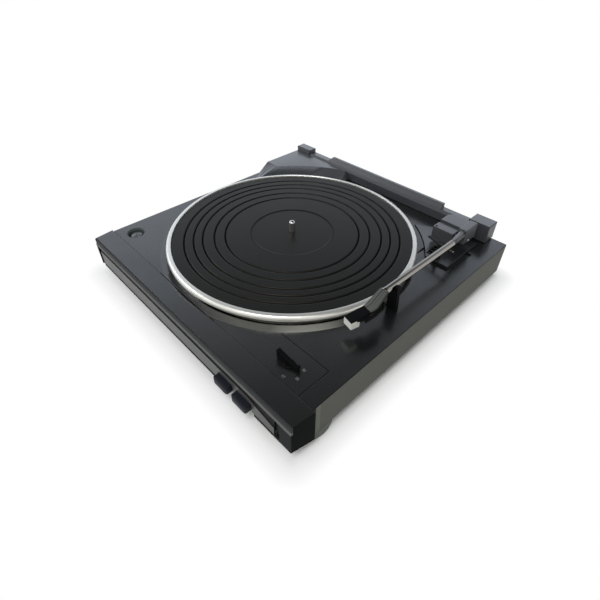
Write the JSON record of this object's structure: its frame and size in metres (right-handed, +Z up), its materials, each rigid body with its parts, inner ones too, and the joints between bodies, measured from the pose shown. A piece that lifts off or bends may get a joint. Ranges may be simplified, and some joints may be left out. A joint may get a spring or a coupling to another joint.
{
  "type": "automatic turntable",
  "caption": "Automatic belt-drive turntable with a square body, sunken platter, ribbed mat, straight pickup arm and rear lid-hinge sockets, without lid.",
  "frame": {"origin": "middle of the overall plan outline, on the surface that the feet stand on", "axes": "+X to the right along the front, +Y to the back where the lid hinges, +Z up"},
  "size_m": [0.3556, 0.3587, 0.0815],
  "materials": {
    "charcoal_plastic": "fine grained charcoal moulding",
    "black_plastic": "satin black moulding",
    "grey_panel": "satin grey paint",
    "mat_rubber": "matte ribbed rubber",
    "foot_rubber": "matte grey rubber",
    "aluminium": "turned and polished",
    "tube_chrome": "satin chrome",
    "steel": "bright steel",
    "brass": "machined brass",
    "white_plastic": "white moulding",
    "red_plastic": "red moulding",
    "nylon": "natural nylon",
    "circuit_green": "green board"
  },
  "bodies": {
    "base": {"chassis": "charcoal_plastic", "front_cap": "charcoal_plastic", "front_panel": "grey_panel", "base_pan": "black_plastic", "base_screw_front_left": "steel", "base_screw_front_right": "steel", "base_screw_rear_left": "steel", "base_screw_rear_right": "steel", "foot_front_left": "foot_rubber", "foot_front_right": "foot_rubber", "foot_rear_left": "foot_rubber", "foot_rear_right": "foot_rubber", "switch_board": "circuit_green", "control_panel": "charcoal_plastic", "locking_screw": "black_plastic", "bearing_bush": "brass", "cam_stud": "steel", "lever_stud": "steel", "motor": "steel", "motor_mount_1": "mat_rubber", "motor_mount_2": "mat_rubber", "motor_mount_3": "mat_rubber", "drive_belt": "mat_rubber", "corner_cover": "charcoal_plastic", "rear_rail": "charcoal_plastic", "hinge_socket_left": "charcoal_plastic", "hinge_socket_right": "charcoal_plastic", "arm_base_plate": "charcoal_plastic", "arm_bush": "brass", "arm_rest": "black_plastic", "lift_bush": "black_plastic", "circuit_board": "circuit_green", "transformer": "steel", "output_sockets": "brass", "power_inlet": "black_plastic"},
    "platter_unit": {"platter": "aluminium", "platter_mat": "mat_rubber", "spindle": "steel", "hub_pinion": "nylon"},
    "pulley_unit": {"motor_pulley": "brass", "motor_shaft": "steel"},
    "cam_gear_unit": {"cam_gear": "nylon"},
    "return_lever_unit": {"return_lever": "steel"},
    "arm_swing_unit": {"arm_turret": "charcoal_plastic", "arm_pillar": "steel", "arm_crank": "steel", "pivot_pin": "steel"},
    "arm_unit": {"arm_holder": "charcoal_plastic", "counterweight": "steel", "arm_tube": "tube_chrome", "headshell": "charcoal_plastic", "finger_lift": "black_plastic", "cartridge": "black_plastic", "stylus": "red_plastic"},
    "guard_unit": {"stylus_guard": "white_plastic"},
    "lift_unit": {"lift_bar": "black_plastic"},
    "start_button_unit": {"start_button": "black_plastic"},
    "stop_button_unit": {"stop_button": "black_plastic"},
    "size_lever_unit": {"size_lever": "black_plastic"}
  },
  "joints": [
    {"name": "platter_spin", "type": "hinge", "parent": "base", "child": "platter_unit", "pos_m": [-0.0111, 0.00175, 0.0603], "axis": [0, 0, -1], "continuous": true},
    {"name": "pulley_spin", "type": "hinge", "parent": "base", "child": "pulley_unit", "pos_m": [-0.09454, 0.08519, 0.0498], "axis": [0, 0, -1], "continuous": true},
    {"name": "cam_gear_turn", "type": "hinge", "parent": "base", "child": "cam_gear_unit", "pos_m": [0.05139, 0.02449, 0.0412], "axis": [0, 0, 1], "continuous": true},
    {"name": "return_lever_swing", "type": "hinge", "parent": "base", "child": "return_lever_unit", "pos_m": [0.09137, 0.05396, 0.0347], "axis": [0, 0, 1], "range_deg": [-6, 6]},
    {"name": "arm_swing", "type": "hinge", "parent": "base", "child": "arm_swing_unit", "pos_m": [0.122, 0.12335, 0.055], "axis": [0, 0, -1], "range_deg": [0, 36]},
    {"name": "arm_lift", "type": "hinge", "parent": "arm_swing_unit", "child": "arm_unit", "pos_m": [0.136, 0.12635, 0.067], "axis": [-1, 0, 0], "range_deg": [0, 6]},
    {"name": "guard_pull", "type": "slide", "parent": "arm_unit", "child": "guard_unit", "axis": [-0.225, -0.9744, 0], "range_m": [0, 0.012]},
    {"name": "cue_lift", "type": "slide", "parent": "base", "child": "lift_unit", "axis": [0, 0, 1], "range_m": [0, 0.004]},
    {"name": "start_press", "type": "slide", "parent": "base", "child": "start_button_unit", "axis": [0, 1, 0], "range_m": [0, 0.0035], "stiffness_N_per_m": 150},
    {"name": "stop_press", "type": "slide", "parent": "base", "child": "stop_button_unit", "axis": [0, 1, 0], "range_m": [0, 0.0035], "stiffness_N_per_m": 150},
    {"name": "size_select", "type": "hinge", "parent": "base", "child": "size_lever_unit", "pos_m": [0.128, -0.13065, 0.05], "axis": [0, 0, 1], "range_deg": [-68, 17]}
  ],
  "couplings": [
    {"joint": "pulley_spin", "follows": "platter_spin", "ratio": 10}
  ]
}
